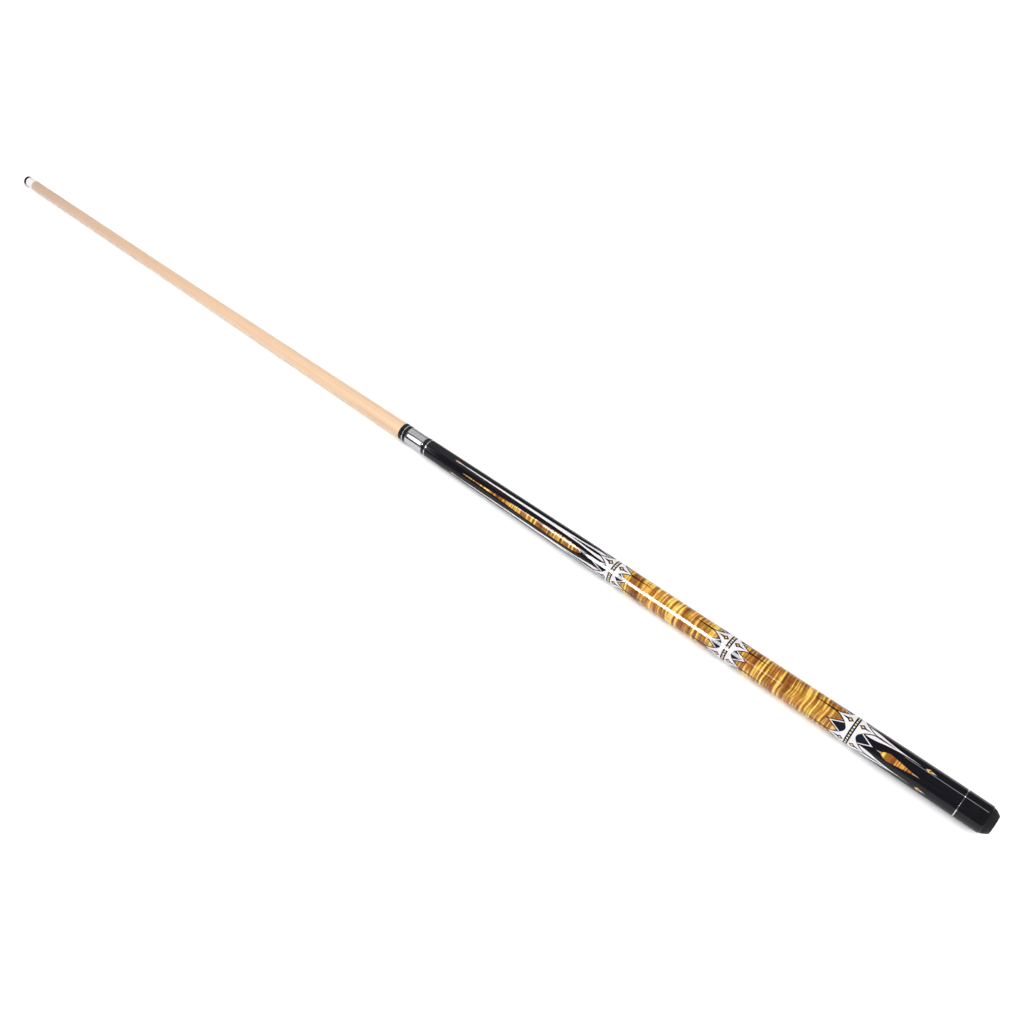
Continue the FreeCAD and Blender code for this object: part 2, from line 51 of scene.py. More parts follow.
# =====================================================================
# small node helpers
# =====================================================================
class Mat:
    """One node material with a Principled shader."""

    def __init__(self, name):
        self.m = bpy.data.materials.new(name)
        self.m.use_nodes = True
        self.t = self.m.node_tree
        self.t.nodes.clear()
        self.out = self.t.nodes.new("ShaderNodeOutputMaterial")
        self.b = self.t.nodes.new("ShaderNodeBsdfPrincipled")
        self.t.links.new(self.b.outputs[0], self.out.inputs[0])

    def set(self, **kw):
        for k, v in kw.items():
            self.b.inputs[k.replace("_", " ")].default_value = v
        return self

    def node(self, kind, **kw):
        n = self.t.nodes.new("ShaderNode" + kind)
        for k, v in kw.items():
            setattr(n, k, v)
        return n

    def link(self, a, b):
        self.t.links.new(a, b)

    def coords(self, scale=(1, 1, 1), loc=(0, 0, 0)):
        tc = self.node("TexCoord")
        mp = self.node("Mapping")
        mp.inputs["Scale"].default_value = scale
        mp.inputs["Location"].default_value = loc
        self.link(tc.outputs["Object"], mp.inputs[0])
        return mp.outputs[0]

    def noise(self, vec, scale=1.0, detail=2.0, rough=0.5, distort=0.0):
        n = self.node("TexNoise")
        n.inputs["Scale"].default_value = scale
        n.inputs["Detail"].default_value = detail
        n.inputs["Roughness"].default_value = rough
        n.inputs["Distortion"].default_value = distort
        self.link(vec, n.inputs["Vector"])
        return n.outputs["Fac"]

    def ramp(self, fac, stops, interp="LINEAR"):
        r = self.node("ValToRGB")
        r.color_ramp.interpolation = interp
        e = r.color_ramp.elements
        while len(e) > 1:
            e.remove(e[-1])
        e[0].position, e[0].color = stops[0][0], (*stops[0][1], 1)
        for p, c in stops[1:]:
            k = e.new(p)
            k.color = (*c, 1)
        self.link(fac, r.inputs[0])
        return r.outputs[0]

    def span(self, fac, a, b, lo, hi):
        r = self.node("MapRange")
        for k, v in (("From Min", a), ("From Max", b), ("To Min", lo), ("To Max", hi)):
            r.inputs[k].default_value = v
        self.link(fac, r.inputs[0])
        return r.outputs[0]

    def math(self, op, a, b=None):
        n = self.node("Math", operation=op)
        for i, v in enumerate((a, b)):
            if v is None:
                continue
            if isinstance(v, (int, float)):
                n.inputs[i].default_value = v
            else:
                self.link(v, n.inputs[i])
        return n.outputs[0]

    def mix(self, fac, a, b, mode="MIX"):
        n = self.node("Mix", data_type="RGBA", blend_type=mode)
        for i, v in ((0, fac), (6, a), (7, b)):
            if isinstance(v, (int, float)):
                n.inputs[i].default_value = v
            elif isinstance(v, tuple):
                n.inputs[i].default_value = (*v, 1)
            else:
                self.link(v, n.inputs[i])
        return n.outputs[2]

    def bump(self, height, strength=0.1, distance=0.0002):
        n = self.node("Bump")
        n.inputs["Strength"].default_value = strength
        n.inputs["Distance"].default_value = distance
        self.link(height, n.inputs["Height"])
        self.link(n.outputs[0], self.b.inputs["Normal"])
        return n


def lacquer_wear(mat, base_rough=0.10, spread=0.05):
    """Fine polish marks and the faint waviness of sprayed lacquer."""
    marks = mat.noise(mat.coords((40, 900, 900)), 1.0, 3.0, 0.6)
    cloud = mat.noise(mat.coords((60, 60, 60)), 1.0, 2.0, 0.5)
    both = mat.math("MULTIPLY", marks, cloud)
    mat.link(mat.span(both, 0.1, 0.45, base_rough, base_rough + spread), mat.b.inputs["Roughness"])
    wave = mat.noise(mat.coords((180, 180, 180)), 1.0, 2.0, 0.5)
    mat.bump(wave, 0.05, 0.00012)


# =====================================================================
# materials
# =====================================================================
def make_black_lacquer():
    m = Mat("black_lacquer")
    v = m.noise(m.coords((12, 260, 260)), 1.0, 4.0, 0.6)
    m.link(m.ramp(v, [(0.30, (0.0040, 0.0040, 0.0065)), (0.62, (0.0070, 0.0068, 0.0095)), (0.85, (0.0105, 0.0098, 0.0135))]),
           m.b.inputs["Base Color"])
    m.set(Coat_Weight=0.55, Coat_Roughness=0.03, Coat_IOR=1.42, Specular_IOR_Level=0.0)
    lacquer_wear(m, 0.30, 0.15)
    return m.m


def make_navy():
    m = Mat("navy_lacquer")
    v = m.noise(m.coords((40, 300, 300)), 1.0, 3.0, 0.6)
    m.link(m.ramp(v, [(0.30, (0.006, 0.008, 0.014)), (0.75, (0.010, 0.014, 0.024))]), m.b.inputs["Base Color"])
    m.set(Coat_Weight=0.55, Coat_Roughness=0.03, Coat_IOR=1.42, Specular_IOR_Level=0.0)
    lacquer_wear(m, 0.30, 0.15)
    return m.m


def make_flame():
    """Honey-stained curly maple: narrow bright bars across fine long grain."""
    m = Mat("flame_maple")
    tc = m.node("TexCoord")
    sep = m.node("SeparateXYZ")
    m.link(tc.outputs["Object"], sep.inputs[0])
    warp = m.noise(m.coords((11, 34, 34)), 1.0, 1.0, 0.5)
    shift = m.math("MULTIPLY", m.math("SUBTRACT", warp, 0.5), 0.0065)
    xw = m.math("ADD", sep.outputs[0], shift)

    def bars(sx, sr, loc, detail=1.0):
        comb = m.node("CombineXYZ")
        m.link(xw, comb.inputs[0])
        m.link(sep.outputs[1], comb.inputs[1])
        m.link(sep.outputs[2], comb.inputs[2])
        mp = m.node("Mapping")
        mp.inputs["Scale"].default_value = (sx, sr, sr)
        mp.inputs["Location"].default_value = loc
        m.link(comb.outputs[0], mp.inputs[0])
        return m.noise(mp.outputs[0], 1.0, detail, 0.5)

    curl = bars(400, 24, (0, 0, 0))
    broad = bars(80, 34, (3.1, 1.7, 4.2))
    fine = bars(900, 95, (8.3, 2.7, 1.2), 2.0)
    fig = m.math("ADD", m.math("MULTIPLY", curl, 0.60), m.math("ADD", m.math("MULTIPLY", broad, 0.24), m.math("MULTIPLY", fine, 0.16)))
    col = m.ramp(fig, [(0.36, (0.125, 0.036, 0.007)), (0.43, (0.250, 0.094, 0.018)), (0.490, (0.350, 0.155, 0.030)),
                       (0.530, (0.500, 0.262, 0.048)), (0.565, (0.730, 0.460, 0.095)), (0.62, (0.840, 0.600, 0.170))])
    grain = m.noise(m.coords((34, 1500, 1500)), 1.0, 4.0, 0.62)
    lines = m.ramp(grain, [(0.34, (0.40, 0.30, 0.24)), (0.49, (1.0, 1.0, 1.0)), (0.70, (1.08, 1.06, 1.02))])
    col = m.mix(0.75, col, lines, "MULTIPLY")
    tint = m.noise(m.coords((70, 160, 160), (5, 3, 8)), 1.0, 2.0, 0.5)
    col = m.mix(0.8, col, m.ramp(tint, [(0.36, (1.06, 0.84, 0.80)), (0.50, (1.0, 1.0, 1.0)), (0.66, (0.97, 1.08, 0.85))]), "MULTIPLY")
    blot = m.noise(m.coords((24, 60, 60), (7, 2, 5)), 1.0, 2.0, 0.5)
    col = m.mix(m.span(blot, 0.54, 0.80, 0.0, 0.40), col, (0.22, 0.068, 0.020))
    m.link(col, m.b.inputs["Base Color"])
    m.set(Coat_Weight=0.9, Coat_Roughness=0.03, Coat_IOR=1.42, Specular_IOR_Level=0.0)
    m.link(m.span(fig, 0.3, 0.7, 0.40, 0.30), m.b.inputs["Roughness"])
    m.bump(grain, 0.03, 0.00006)
    return m.m


def make_pearl():
    m = Mat("pearl_white")
    v = m.noise(m.coords((120, 160, 160)), 1.0, 3.0, 0.6)
    m.link(m.ramp(v, [(0.30, (0.61, 0.58, 0.605)), (0.50, (0.665, 0.64, 0.66)), (0.72, (0.71, 0.69, 0.70))]),
           m.b.inputs["Base Color"])
    m.set(Coat_Weight=0.9, Coat_Roughness=0.03, Coat_IOR=1.42, Specular_IOR_Level=0.0)
    lacquer_wear(m, 0.30, 0.10)
    return m.m


def make_cream():
    m = Mat("cream_inlay")
    v = m.noise(m.coords((300, 300, 300)), 1.0, 3.0, 0.6)
    m.link(m.ramp(v, [(0.30, (0.50, 0.40, 0.22)), (0.70, (0.64, 0.55, 0.35))]), m.b.inputs["Base Color"])
    m.set(Coat_Weight=0.9, Coat_Roughness=0.03, Coat_IOR=1.42, Specular_IOR_Level=0.0)
    lacquer_wear(m, 0.30, 0.10)
    return m.m


def make_shaft():
    """Hard maple: pale, straight-grained, with fine dark pores and a few growth lines, and painted shade that darkens
    it towards the tip.
    """
    m = Mat("shaft_maple")
    tc = m.node("TexCoord")
    sep = m.node("SeparateXYZ")
    m.link(tc.outputs["Object"], sep.inputs[0])
    drift = m.noise(m.coords((1.6, 60, 60), (2, 5, 1)), 1.0, 2.0, 0.5)
    rings = m.node("Mapping")
    rings.inputs["Scale"].default_value = (2.2, 620, 260)
    m.link(tc.outputs["Object"], rings.inputs[0])
    growth = m.noise(rings.outputs[0], 1.0, 3.0, 0.55, 0.35)
    # painted shade: the base colour darkens and greys from the joint towards the tip, standing in for the light
    # falling off there
    along = m.span(sep.outputs[0], 0.75, 1.46, 0.0, 1.0)
    base = m.ramp(along, [(0.0, (0.668, 0.463, 0.305)), (0.45, (0.638, 0.443, 0.296)), (0.80, (0.545, 0.378, 0.272)), (1.0, (0.455, 0.326, 0.250))])
    tone = m.ramp(growth, [(0.30, (0.84, 0.78, 0.70)), (0.45, (0.96, 0.94, 0.90)), (0.60, (1.0, 1.0, 1.0)), (0.80, (1.03, 1.02, 1.0))])
    col = m.mix(0.85, base, tone, "MULTIPLY")
    col = m.mix(m.span(drift, 0.4, 0.7, 0.0, 0.16), col, (0.48, 0.31, 0.19))
    pores = m.noise(m.coords((55, 2600, 2600)), 1.0, 4.0, 0.65)
    dark = m.ramp(pores, [(0.28, (0.62, 0.52, 0.42)), (0.40, (1.0, 1.0, 1.0))])
    col = m.mix(0.45, col, dark, "MULTIPLY")
    fleck = m.noise(m.coords((160, 700, 700), (4, 1, 9)), 1.0, 2.0, 0.5)
    col = m.mix(m.span(fleck, 0.62, 0.78, 0.0, 0.30), col, (0.48, 0.31, 0.19))
    m.link(col, m.b.inputs["Base Color"])
    m.link(m.span(pores, 0.3, 0.7, 0.42, 0.30), m.b.inputs["Roughness"])
    m.set(Coat_Weight=0.25, Coat_Roughness=0.18, Specular_IOR_Level=0.45)
    m.bump(pores, 0.10, 0.00010)
    return m.m


def make_core_wood():
    m = Mat("core_maple")
    g = m.noise(m.coords((18, 900, 900)), 1.0, 4.0, 0.6)
    m.link(m.ramp(g, [(0.3, (0.42, 0.26, 0.13)), (0.7, (0.66, 0.47, 0.28))]), m.b.inputs["Base Color"])
    m.link(m.span(g, 0.3, 0.7, 0.6, 0.5), m.b.inputs["Roughness"])
    m.bump(g, 0.2, 0.00015)
    return m.m


def make_metal(name, lo, hi, rough, rough_hi, lines=1400.0, aniso=0.35):
    """Turned metal: fine rings round the cue's axis."""
    m = Mat(name)
    turn = m.noise(m.coords((lines, 14, 14)), 1.0, 3.0, 0.6)
    smear = m.noise(m.coords((130, 130, 130), (1, 4, 2)), 1.0, 3.0, 0.6)
    m.link(m.ramp(turn, [(0.3, lo), (0.7, hi)]), m.b.inputs["Base Color"])
    m.link(m.span(smear, 0.3, 0.7, rough, rough_hi), m.b.inputs["Roughness"])
    m.set(Metallic=1.0, Anisotropic=aniso)
    m.bump(turn, 0.06, 0.00004)
    return m.m


def make_black_plastic():
    m = Mat("black_resin")
    v = m.noise(m.coords((90, 90, 90)), 1.0, 3.0, 0.6)
    m.link(m.ramp(v, [(0.3, (0.0050, 0.0050, 0.0064)), (0.75, (0.0088, 0.0086, 0.0105))]), m.b.inputs["Base Color"])
    turn = m.noise(m.coords((900, 9, 9)), 1.0, 3.0, 0.6)
    m.link(m.span(turn, 0.3, 0.7, 0.30, 0.40), m.b.inputs["Roughness"])
    m.set(Coat_Weight=0.55, Coat_Roughness=0.045, Coat_IOR=1.42, Specular_IOR_Level=0.0)
    m.bump(turn, 0.04, 0.00004)
    return m.m


def make_rubber():
    m = Mat("bumper_rubber")
    fine = m.noise(m.coords((2300, 2300, 2300)), 1.0, 4.0, 0.6)
    dust = m.noise(m.coords((210, 210, 210)), 1.0, 4.0, 0.65)
    m.link(m.ramp(dust, [(0.3, (0.0050, 0.0050, 0.0058)), (0.6, (0.0080, 0.0080, 0.0088)), (0.8, (0.0140, 0.0137, 0.0136))]),
           m.b.inputs["Base Color"])
    m.link(m.span(dust, 0.3, 0.7, 0.50, 0.66), m.b.inputs["Roughness"])
    m.set(Specular_IOR_Level=0.14)
    m.bump(fine, 0.25, 0.00012)
    return m.m


def make_leather():
    m = Mat("tip_leather")
    nap = m.noise(m.coords((1500, 1500, 1500)), 1.0, 5.0, 0.65)
    layer = m.noise(m.coords((5200, 120, 120)), 1.0, 2.0, 0.5)
    col = m.ramp(nap, [(0.3, (0.006, 0.0045, 0.0045)), (0.6, (0.013, 0.0095, 0.0095)), (0.8, (0.030, 0.022, 0.022))])
    col = m.mix(0.35, col, m.ramp(layer, [(0.35, (0.4, 0.36, 0.34)), (0.65, (1, 1, 1))]), "MULTIPLY")
    m.link(col, m.b.inputs["Base Color"])
    m.link(m.span(nap, 0.3, 0.7, 0.75, 0.95), m.b.inputs["Roughness"])
    m.set(Specular_IOR_Level=0.06)
    m.bump(nap, 0.5, 0.00025)
    return m.m


def make_ferrule():
    m = Mat("ferrule_resin")
    v = m.noise(m.coords((140, 260, 260)), 1.0, 3.0, 0.6)
    m.link(m.ramp(v, [(0.3, (0.63, 0.595, 0.585)), (0.7, (0.70, 0.675, 0.66))]), m.b.inputs["Base Color"])
    turn = m.noise(m.coords((1900, 12, 12)), 1.0, 3.0, 0.6)
    m.link(m.span(turn, 0.3, 0.7, 0.24, 0.34), m.b.inputs["Roughness"])
    m.set(Subsurface_Weight=0.08, Subsurface_Radius=(0.0012, 0.0010, 0.0008), Subsurface_Scale=1.0)
    m.bump(turn, 0.02, 0.00003)
    return m.m


def make_fibre():
    m = Mat("pad_fibre")
    v = m.noise(m.coords((1800, 500, 500)), 1.0, 4.0, 0.6)
    m.link(m.ramp(v, [(0.3, (0.010, 0.008, 0.008)), (0.7, (0.026, 0.020, 0.020))]), m.b.inputs["Base Color"])
    m.link(m.span(v, 0.3, 0.7, 0.55, 0.75), m.b.inputs["Roughness"])
    m.bump(v, 0.2, 0.0001)
    return m.m


M = {
    "black": make_black_lacquer(), "navy": make_navy(), "amber": make_flame(), "white": make_pearl(),
    "cream": make_cream(), "shaft": make_shaft(), "core": make_core_wood(), "resin": make_black_plastic(),
    "steel": make_metal("stainless_turned", (0.38, 0.38, 0.39), (0.47, 0.47, 0.48), 0.05, 0.10),
    "silver": make_metal("silver_ring_metal", (0.46, 0.46, 0.48), (0.58, 0.58, 0.60), 0.10, 0.18),
    "pin": make_metal("pin_steel", (0.52, 0.52, 0.54), (0.68, 0.68, 0.70), 0.20, 0.30),
    "brass": make_metal("turned_brass", (0.62, 0.42, 0.14), (0.78, 0.57, 0.24), 0.20, 0.32),
    "zinc": make_metal("plated_steel", (0.38, 0.38, 0.38), (0.55, 0.55, 0.54), 0.32, 0.48),
    "rubber": make_rubber(), "leather": make_leather(), "ferrule": make_ferrule(), "fibre": make_fibre(),
}


# =====================================================================
# mesh helpers
# =====================================================================
def finish_piece(name, verts, faces, normals, mat, body, nodes=(), sharp=None):
    mesh = bpy.data.meshes.new(name)
    mesh.from_pydata([tuple(v) for v in verts], [], [tuple(f) for f in faces])
    mesh.validate()
    mesh.update()
    mesh.materials.append(mat)
    mesh.polygons.foreach_set("use_smooth", [True] * len(mesh.polygons))
    if normals is not None:
        mesh.normals_split_custom_set([tuple(n) for n in normals])
    elif sharp:
        mesh.set_sharp_from_angle(angle=math.radians(sharp))
    o = bpy.data.objects.new(name, mesh)
    bpy.context.scene.collection.objects.link(o)
    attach(o, body)
    if nodes:
        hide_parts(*nodes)
    return o


def signed_volume(verts, faces):
    V = np.array(verts)
    T = np.array([(f[0], f[j], f[j + 1]) for f in faces for j in range(1, len(f) - 1)])
    return float(np.einsum("ij,ij->i", V[T[:, 0]], np.cross(V[T[:, 1]], V[T[:, 2]])).sum())


def round_corner(a, b, c, radius, steps=4):
    """Points of a small round at b, on the way from a to c."""
    a, b, c = Vector(a), Vector(b), Vector(c)
    u, v = (a - b), (c - b)
    radius = min(radius, u.length * 0.45, v.length * 0.45)
    p0, p2 = b + u.normalized() * radius, b + v.normalized() * radius
    out = []
    for i in range(steps + 1):
        t = i / steps
        out.append(tuple((1 - t) ** 2 * p0 + 2 * t * (1 - t) * b + t * t * p2))
    return out


def lathe(name, profile, mat, body, nodes=(), segs=128, sharp=32, closed=True, max_step=None):
    """Revolves a profile of (x, r) in millimetres about the cue's axis."""
    pts = []
    n = len(profile)
    for i in range(n):
        pts.append(profile[i])
        if max_step and (closed or i < n - 1):
            a, b = profile[i], profile[(i + 1) % n]
            length = math.hypot(a[0] - b[0], a[1] - b[1])
            k = int(length // max_step)
            for j in range(1, k + 1):
                t = j / (k + 1)
                pts.append((a[0] + (b[0] - a[0]) * t, a[1] + (b[1] - a[1]) * t))
    verts, rings = [], []
    for x, r in pts:
        if r < 1e-6:
            rings.append([len(verts)])
            verts.append((x * MM, 0, 0))
        else:
            start = len(verts)
            for k in range(segs):
                a = 2 * math.pi * k / segs
                verts.append((x * MM, r * MM * math.sin(a), r * MM * math.cos(a)))
            rings.append(list(range(start, start + segs)))
    faces = []
    count = len(pts)
    for i in range(count if closed else count - 1):
        a, b = rings[i], rings[(i + 1) % count]
        if len(a) == 1 and len(b) == 1:
            continue
        for k in range(segs):
            k2 = (k + 1) % segs
            if len(a) == 1:
                faces.append((a[0], b[k2], b[k]))
            elif len(b) == 1:
                faces.append((a[k], a[k2], b[0]))
            else:
                faces.append((a[k], a[k2], b[k2], b[k]))
    # outward normals: the sense in which the profile runs round the solid decides it
    area = sum(pts[i][0] * pts[(i + 1) % count][1] - pts[(i + 1) % count][0] * pts[i][1] for i in range(count))
    if area > 0:
        faces = [tuple(reversed(f)) for f in faces]
    return finish_piece(name, verts, faces, None, mat, body, nodes, sharp)


def tube(x0, x1, r_in0, r_out0, r_in1=None, r_out1=None, bevel=0.15):
    """Profile of a ring with small rounds on its outer corners."""
    r_in1 = r_in0 if r_in1 is None else r_in1
    r_out1 = r_out0 if r_out1 is None else r_out1
    a, b, c, d = (x0, r_in0), (x0, r_out0), (x1, r_out1), (x1, r_in1)
    if bevel <= 0:
        return [a, b, c, d]
    return [a] + round_corner(a, b, c, bevel, 3) + round_corner(b, c, d, bevel, 3) + [d]


def catmull(points, per=8):
    """A smooth line through points."""
    P = [np.array(p, float) for p in points]
    P = [2 * P[0] - P[1]] + P + [2 * P[-1] - P[-2]]
    out = []
    for i in range(1, len(P) - 2):
        p0, p1, p2, p3 = P[i - 1], P[i], P[i + 1], P[i + 2]
        for j in range(per):
            t = j / per
            out.append(0.5 * ((2 * p1) + (-p0 + p2) * t + (2 * p0 - 5 * p1 + 4 * p2 - p3) * t * t
                              + (-p0 + 3 * p1 - 3 * p2 + p3) * t ** 3))
    out.append(P[-2])
    return [tuple(p) for p in out]


def inside(poly, x, y):
    hit = False
    n = len(poly)
    j = n - 1
    for i in range(n):
        xi, yi = poly[i]
        xj, yj = poly[j]
        if (yi > y) != (yj > y) and x < (xj - xi) * (y - yi) / (yj - yi) + xi:
            hit = not hit
        j = i
    return hit


class Skin:
    """The decorated outside of one turned piece: regions of colour cut exactly along their outlines.

    Regions are drawn in x (mm along the cue) and psi (degrees round it) on one sector and
    repeated round the piece, mirrored when the sector is half of a repeat."""

    def __init__(self, x0, x1, r0, r1, lo=0.0, hi=45.0, mirror=True, copies=4, step=2.25, depth=1.5, turn=41.5):
        self.x0, self.x1, self.r0, self.r1 = x0, x1, r0, r1
        self.lo, self.hi, self.mirror, self.copies, self.step, self.depth = lo, hi, mirror, copies, step, depth
        self.k = (r0 + r1) / 2 * math.pi / 180
        self.turn = math.radians(turn)      # first fan centre, from +Z towards +Y
        self.regions = []
        # drawn on every other repeat only: label -> (label there, label on the plain panels)
        self.alternate = {"point": ("amber", "black"), "fillet": ("cream", "black")}

    def radius(self, x):
        return self.r0 + (self.r1 - self.r0) * (x - self.x0) / (self.x1 - self.x0)

    def add(self, label, poly):
        lo, hi = self.lo, self.hi
        clean = []
        for x, a in poly:
            q = (min(max(x, self.x0), self.x1), min(max(a, lo), hi))
            if not clean or abs(q[0] - clean[-1][0]) + abs(q[1] - clean[-1][1]) > 1e-5:
                clean.append(q)
        if len(clean) > 2 and abs(clean[0][0] - clean[-1][0]) + abs(clean[0][1] - clean[-1][1]) < 1e-5:
            clean.pop()
        if len(clean) > 2:
            self.regions.append((label, clean))

    def build(self, base, body, pieces):
        """pieces: label -> (name, material, nodes, slot); slot is not used."""
        k = self.k
        verts, edges = [], []

        def put(x, a):
            verts.append(Vector((x, a * k)))
            return len(verts) - 1

        n = max(1, int(round((self.hi - self.lo) / self.step)))
        for i in range(n + 1):
            a = self.lo + (self.hi - self.lo) * i / n
            edges.append((put(self.x0, a), put(self.x1, a)))
        m = max(1, int(round((self.x1 - self.x0) / 6.0)))
        for i in range(m + 1):
            x = self.x0 + (self.x1 - self.x0) * i / m
            edges.append((put(x, self.lo), put(x, self.hi)))
        for _, poly in self.regions:
            ids = [put(x, a) for x, a in poly]
            for i in range(len(ids)):
                edges.append((ids[i], ids[(i + 1) % len(ids)]))
        cv, _, cf, *_ = delaunay_2d_cdt(verts, edges, [], 0, 1e-4)
        P = np.array([(v[0], v[1] / k) for v in cv])
        tris = {}
        boxed = [(lab, poly, (min(p[0] for p in poly), max(p[0] for p in poly), min(p[1] for p in poly), max(p[1] for p in poly)))
                 for lab, poly in self.regions]
        for f in cf:
            f = list(f)
            for j in range(1, len(f) - 1):
                t = (f[0], f[j], f[j + 1])
                a, b, c = P[t[0]], P[t[1]], P[t[2]]
                area = (b[0] - a[0]) * (c[1] - a[1]) - (c[0] - a[0]) * (b[1] - a[1])
                if abs(area) < 1e-7:
                    continue
                cx, ca = (a + b + c) / 3
                label = base
                for lab, poly, (bx0, bx1, ba0, ba1) in boxed:
                    if bx0 <= cx <= bx1 and ba0 <= ca <= ba1 and inside(poly, cx, ca):
                        label = lab
                if area < 0:
                    t = (t[0], t[2], t[1])
                tris.setdefault(label, []).append(t)
        # weld key per copy: position on the cone
        made = {}
        slope = math.atan2(self.r1 - self.r0, self.x1 - self.x0)
        for label, (name, mat, nodes, slot) in pieces.items():
            parts = [(tris.get(label, []), range(self.copies))]
            for pair, (on, off) in self.alternate.items():
                if label == on:
                    parts.append((tris.get(pair, []), range(0, self.copies, 2)))
                if label == off:
                    parts.append((tris.get(pair, []), range(1, self.copies, 2)))
            if not any(p[0] for p in parts):
                continue
            index, xs, angs = {}, [], []

            def vid(i, turn, flip):
                x, a = P[i]
                ang = turn - a if flip else turn + a
                ang = round(ang % 360.0, 5) % 360.0
                key = (round(x, 4), round(ang, 4))
                if key not in index:
                    index[key] = len(xs)
                    xs.append(x)
                    angs.append(ang)
                return index[key]

            faces = []
            for some, where in parts:
                for c in where:
                    turn = c * 360.0 / self.copies
                    for t in some:
                        faces.append(tuple(vid(i, turn, False) for i in t))
                    if self.mirror:
                        for t in some:
                            faces.append(tuple(vid(i, turn, True) for i in (t[0], t[2], t[1])))
            faces = [f for f in faces if len(set(f)) == 3]
            xs_, angs_ = np.array(xs), np.radians(np.array(angs)) + self.turn
            r_out = np.array([self.radius(x) for x in xs])
            r_in = r_out - self.depth
            top = np.stack([xs_, r_out * np.sin(angs_), r_out * np.cos(angs_)], 1) * MM
            low = np.stack([xs_, r_in * np.sin(angs_), r_in * np.cos(angs_)], 1) * MM
            nrm = np.stack([np.full(len(xs_), -math.sin(slope)), math.cos(slope) * np.sin(angs_), math.cos(slope) * np.cos(angs_)], 1)
            nv = len(xs_)
            V = np.concatenate([top, low])
            # orientation of the outer faces
            f0 = faces[0]
            g = np.cross(V[f0[1]] - V[f0[0]], V[f0[2]] - V[f0[0]])
            if np.dot(g, nrm[f0[0]]) < 0:
                faces = [(f[0], f[2], f[1]) for f in faces]
            count = {}
            for f in faces:
                for j in range(3):
                    a, b = f[j], f[(j + 1) % 3]
                    count[(a, b)] = count.get((a, b), 0) + 1
            walls = [(a, b) for (a, b) in count if (b, a) not in count]
            F, N = [], []
            for f in faces:
                F.append(f)
                N += [nrm[i] for i in f]
            for f in faces:
                F.append((f[0] + nv, f[2] + nv, f[1] + nv))
                N += [-nrm[f[0]], -nrm[f[2]], -nrm[f[1]]]
            for a, b in walls:
                q = (b, a, a + nv, b + nv)
                F.append(q)
                w = np.cross(V[q[1]] - V[q[0]], V[q[2]] - V[q[0]])
                w = w / max(np.linalg.norm(w), 1e-12)
                N += [w] * 4
            made[label] = finish_skin(name, V, F, N, mat, body, nodes)
        return made


def finish_skin(name, V, F, N, mat, body, nodes):
    mesh = bpy.data.meshes.new(name)
    mesh.from_pydata(V.tolist(), [], F)
    mesh.update()
    mesh.materials.append(mat)
    mesh.polygons.foreach_set("use_smooth", [True] * len(mesh.polygons))
    if len(N) == len(mesh.loops):
        mesh.normals_split_custom_set([tuple(map(float, n)) for n in N])
    o = bpy.data.objects.new(name, mesh)
    bpy.context.scene.collection.objects.link(o)
    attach(o, body)
    if nodes:
        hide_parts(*nodes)
    return o


# =====================================================================
# the fan motif beside a ring band
# =====================================================================
ARCH = [(3.6, 0.0), (3.75, 4.0), (4.15, 8.0), (4.9, 12.4), (5.9, 17.0), (7.2, 22.0), (8.9, 27.4),
        (11.2, 33.2), (13.9, 38.8), (16.2, 42.9), (18.2, 45.0)]


def offset_line(points, k, dist):
    """Moves a line in (u, psi) sideways by dist millimetres, towards the panel."""
    Q = [(p[0], p[1] * k) for p in points]
    out = []
    for i in range(len(Q)):
        a, b = Q[max(i - 1, 0)], Q[min(i + 1, len(Q) - 1)]
        t = np.array([b[0] - a[0], b[1] - a[1]])
        if i == 0:
            t = np.array([0.0, 1.0])
        t = t / max(np.linalg.norm(t), 1e-9)
        w = dist(i / (len(Q) - 1)) if callable(dist) else dist
        out.append((Q[i][0] + t[1] * w, (Q[i][1] - t[0] * w) / k))
    return out


